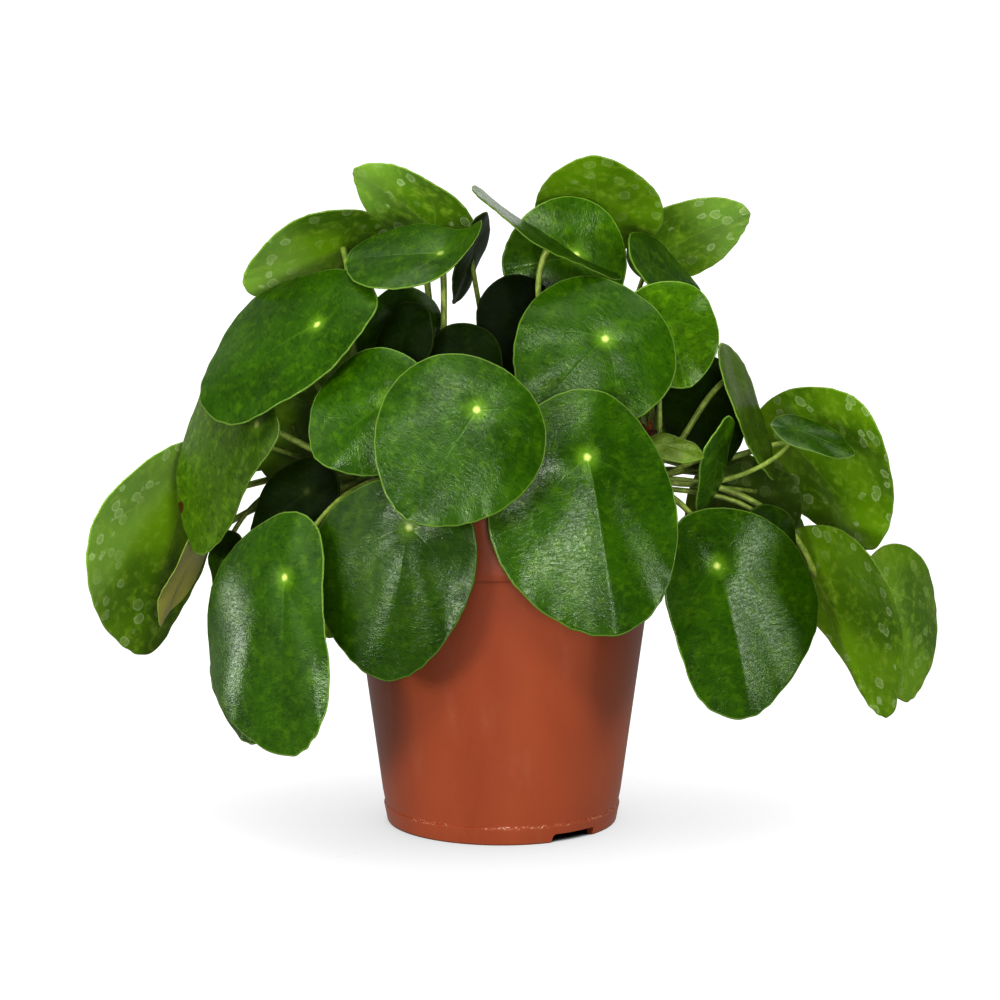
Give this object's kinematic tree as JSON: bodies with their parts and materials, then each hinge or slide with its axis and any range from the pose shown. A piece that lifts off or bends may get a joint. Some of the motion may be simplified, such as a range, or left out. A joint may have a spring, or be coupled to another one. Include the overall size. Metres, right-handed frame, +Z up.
{
  "type": "potted pilea plant",
  "caption": "Bushy houseplant with round glossy leaves on long thin stalks, rooted in soil in a tapered orange-brown plastic nursery pot with a collar, foot notches and drain holes.",
  "frame": {"origin": "on the surface that the pot stands on, under the middle of the plant's outline seen from above, with the pot's axis 5.8 mm to the left and 5.7 mm to the front of it", "axes": "+Z up, +X to the right of the picture, -Y toward its camera"},
  "size_m": [0.3304, 0.1858, 0.2541],
  "materials": {
    "pot_plastic": "satin",
    "potting_soil": "matte",
    "stem_bark": "matte",
    "leaf_green": "satin",
    "leaf_underside": "satin"
  },
  "bodies": {
    "root": {"leaf_back_right": "leaf_underside", "leaf_back_top_left": "leaf_underside", "leaf_back_top_mid": "leaf_underside", "leaf_back_top_right": "leaf_underside", "leaf_back_upper_left": "leaf_underside", "leaf_behind_1": "leaf_green", "leaf_behind_2": "leaf_green", "leaf_behind_3": "leaf_green", "leaf_behind_4": "leaf_green", "leaf_behind_5": "leaf_green", "leaf_behind_6": "leaf_green", "leaf_behind_7": "leaf_green", "leaf_crown_dark": "leaf_green", "leaf_crown_edge": "leaf_green", "leaf_crown_front": "leaf_green", "leaf_crown_left": "leaf_green", "leaf_dull_right": "leaf_underside", "leaf_edge_left": "leaf_underside", "leaf_edge_right": "leaf_green", "leaf_far_left": "leaf_underside", "leaf_front_left": "leaf_green", "leaf_front_right": "leaf_green", "leaf_front_top": "leaf_green", "leaf_green_mid": "leaf_green", "leaf_left": "leaf_green", "leaf_low_far_right": "leaf_underside", "leaf_low_left": "leaf_green", "leaf_low_left_behind": "leaf_green", "leaf_low_right": "leaf_green", "leaf_mid_left": "leaf_green", "leaf_olive_left": "leaf_underside", "leaf_right_behind": "leaf_green", "leaf_right_high": "leaf_green", "leaf_rim_right": "leaf_green", "leaf_shade_crown": "leaf_green", "leaf_shade_left": "leaf_green", "leaf_shade_left_high": "leaf_green", "leaf_shade_left_low": "leaf_green", "leaf_shade_mid": "leaf_green", "leaf_shade_mid_low": "leaf_green", "leaf_shade_right": "leaf_green", "leaf_shade_right_high": "leaf_green", "leaf_small_right": "leaf_green", "leaf_spear_right": "leaf_green", "leaf_upper_left": "leaf_green", "leaf_upper_right": "leaf_green", "leaf_young_right": "leaf_green", "pot": "pot_plastic", "soil": "potting_soil", "stem_left": "stem_bark", "stem_mid": "stem_bark", "stem_right": "stem_bark"}
  },
  "joints": []
}
